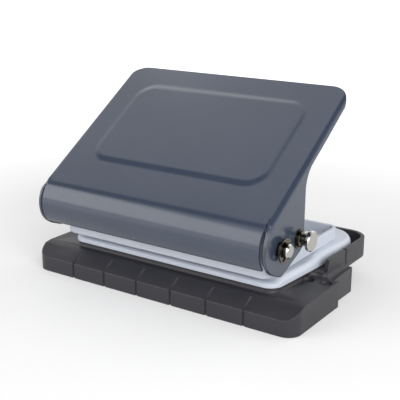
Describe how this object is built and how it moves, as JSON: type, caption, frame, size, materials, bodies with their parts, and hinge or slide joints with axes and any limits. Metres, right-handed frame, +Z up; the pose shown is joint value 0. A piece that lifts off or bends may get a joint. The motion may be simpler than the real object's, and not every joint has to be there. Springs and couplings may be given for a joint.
{
  "type": "desk paper punch",
  "caption": "Desk punch for loose-leaf paper: sloping slate lever with a rolled front over a pale steel frame, on a smoke plastic chip tray",
  "frame": {"origin": "middle of the flat face that stands on the desk", "axes": "+X along the row of holes to the knob side, +Y to the rear, +Z up"},
  "size_m": [0.132, 0.0885, 0.0852],
  "materials": {
    "smoke_plastic": "translucent smoke grey, glossy",
    "pale_enamel": "pale blue-grey satin enamel",
    "slate_enamel": "slate grey semi-gloss enamel",
    "nickel": "nickel plate",
    "plain_steel": "plain bright steel",
    "nylon": "natural nylon"
  },
  "bodies": {
    "tray": {"chip_tray": "smoke_plastic"},
    "base": {"base_plate": "pale_enamel", "paper_stop": "plain_steel", "punch_frame": "pale_enamel", "frame_rivets": "nickel", "pivot_pin": "nickel", "pivot_spacers": "nylon", "pivot_clips": "nickel", "spring_01": "plain_steel", "spring_02": "plain_steel", "spring_03": "plain_steel", "spring_04": "plain_steel", "spring_05": "plain_steel", "spring_06": "plain_steel", "spring_07": "plain_steel", "spring_08": "plain_steel", "spring_09": "plain_steel", "spring_10": "plain_steel"},
    "handle": {"handle": "slate_enamel", "rod_bushes": "nickel"},
    "press_rod": {"press_rod": "nickel", "rod_clip": "nickel"},
    "punches": {"punch_01": "plain_steel", "punch_02": "plain_steel", "punch_03": "plain_steel", "punch_04": "plain_steel", "punch_05": "plain_steel", "punch_06": "plain_steel", "punch_07": "plain_steel", "punch_08": "plain_steel", "punch_09": "plain_steel", "punch_10": "plain_steel"}
  },
  "joints": [
    {"name": "tray_open", "type": "hinge", "parent": "tray", "child": "base", "pos_m": [0, -0.029, 0.0134], "axis": [1, 0, 0], "range_deg": [0, 35]},
    {"name": "handle_press", "type": "hinge", "parent": "base", "child": "handle", "pos_m": [0, -0.0332, 0.0326], "axis": [-1, 0, 0], "range_deg": [0, 19], "stiffness_Nm_per_rad": 1.2, "springref_deg": -17.19},
    {"name": "rod_lock", "type": "slide", "parent": "handle", "child": "press_rod", "axis": [-1, 0, 0], "range_m": [0, 0.0021]},
    {"name": "punch_drop", "type": "slide", "parent": "base", "child": "punches", "axis": [0, 0, -1], "range_m": [0, 0.0049], "deforming": ["spring_01", "spring_02", "spring_03", "spring_04", "spring_05", "spring_06", "spring_07", "spring_08", "spring_09", "spring_10"]}
  ],
  "couplings": [
    {"joint": "punch_drop", "follows": "handle_press", "m_per_rad": 0.014334}
  ]
}
